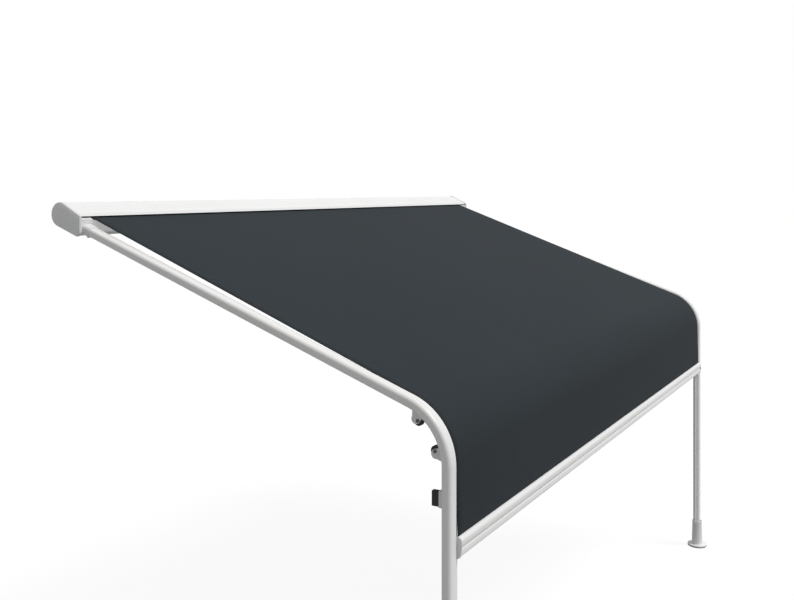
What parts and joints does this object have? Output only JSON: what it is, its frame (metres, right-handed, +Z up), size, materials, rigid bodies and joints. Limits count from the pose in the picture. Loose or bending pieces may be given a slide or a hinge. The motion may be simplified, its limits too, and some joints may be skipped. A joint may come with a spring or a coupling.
{
  "type": "guide-rail awning",
  "caption": "Wall-mounted awning with a tilted roller case, sloping rails bent into footed posts, and a dark cloth that runs over the bend to a sliding front bar.",
  "frame": {"origin": "on the wall plane, in the middle of the middle bracket's back face, level with the axis of the case's round back", "axes": "+X across the width, to the right seen from the front; +Y into the wall; +Z up"},
  "size_m": [4.136, 2.238, 2.5975],
  "materials": {
    "white_coat": "satin white powder coat on aluminium",
    "cloth": "matt woven anthracite cloth",
    "bare_aluminium": "mill",
    "steel": "zinc plated",
    "grey_plastic": "moulded",
    "black_plastic": "moulded",
    "rubber": "matt"
  },
  "bodies": {
    "frame": {"case_hood": "white_coat", "case_tray": "white_coat", "case_end_left": "white_coat", "case_end_right": "white_coat", "slot_end_left": "white_coat", "slot_end_right": "white_coat", "bearing_cover_left": "white_coat", "bearing_cover_right": "white_coat", "wall_bracket_middle": "white_coat", "wall_bracket_left": "white_coat", "wall_bracket_right": "white_coat", "rail_left": "white_coat", "rail_right": "white_coat", "track_left": "white_coat", "track_right": "white_coat", "rail_head_left": "white_coat", "rail_head_right": "white_coat", "foot_left": "white_coat", "foot_right": "white_coat", "cloth_canopy": "cloth", "cloth_drop": "cloth", "tube_motor": "steel", "idler_pin": "steel", "wheel_pin_upper_left": "steel", "wheel_pin_upper_right": "steel", "wheel_pin_lower_left": "steel", "wheel_pin_lower_right": "steel", "wheel_fork_upper_left": "grey_plastic", "wheel_fork_upper_right": "grey_plastic", "wheel_fork_lower_left": "grey_plastic", "wheel_fork_lower_right": "grey_plastic", "lug_holder_left": "grey_plastic", "lug_holder_right": "grey_plastic", "lug_left": "black_plastic", "lug_right": "black_plastic", "foot_pad_left": "rubber", "foot_pad_right": "rubber"},
    "bar": {"front_bar": "white_coat", "bar_end_left": "grey_plastic", "bar_end_right": "grey_plastic", "hem_rod": "grey_plastic", "bar_slider_left": "grey_plastic", "bar_slider_right": "grey_plastic"},
    "roller": {"roller_tube": "bare_aluminium", "cloth_roll": "cloth", "drive_crown": "black_plastic", "idler_plug": "black_plastic"},
    "wheel_upper_left": {"bend_wheel_upper_left": "black_plastic"},
    "wheel_upper_right": {"bend_wheel_upper_right": "black_plastic"},
    "wheel_lower_left": {"bend_wheel_lower_left": "black_plastic"},
    "wheel_lower_right": {"bend_wheel_lower_right": "black_plastic"}
  },
  "joints": [
    {"name": "bar_slide", "type": "slide", "parent": "frame", "child": "bar", "axis": [0, 0, 1], "range_m": [-1.09, 0.155], "deforming": ["cloth_drop"]},
    {"name": "roller_turn", "type": "hinge", "parent": "frame", "child": "roller", "pos_m": [0, -0.08, -0.01], "axis": [1, 0, 0], "range_deg": [-250, 1720]},
    {"name": "wheel_upper_left_turn", "type": "hinge", "parent": "frame", "child": "wheel_upper_left", "pos_m": [-2, -2.04451, -0.74548], "axis": [1, 0, 0], "continuous": true},
    {"name": "wheel_upper_right_turn", "type": "hinge", "parent": "frame", "child": "wheel_upper_right", "pos_m": [2, -2.04451, -0.74548], "axis": [1, 0, 0], "continuous": true},
    {"name": "wheel_lower_left_turn", "type": "hinge", "parent": "frame", "child": "wheel_lower_left", "pos_m": [-2, -2.11781, -0.8478], "axis": [1, 0, 0], "continuous": true},
    {"name": "wheel_lower_right_turn", "type": "hinge", "parent": "frame", "child": "wheel_lower_right", "pos_m": [2, -2.11781, -0.8478], "axis": [1, 0, 0], "continuous": true}
  ],
  "couplings": [
    {"joint": "roller_turn", "follows": "bar_slide", "rad_per_m": -27.4}
  ]
}
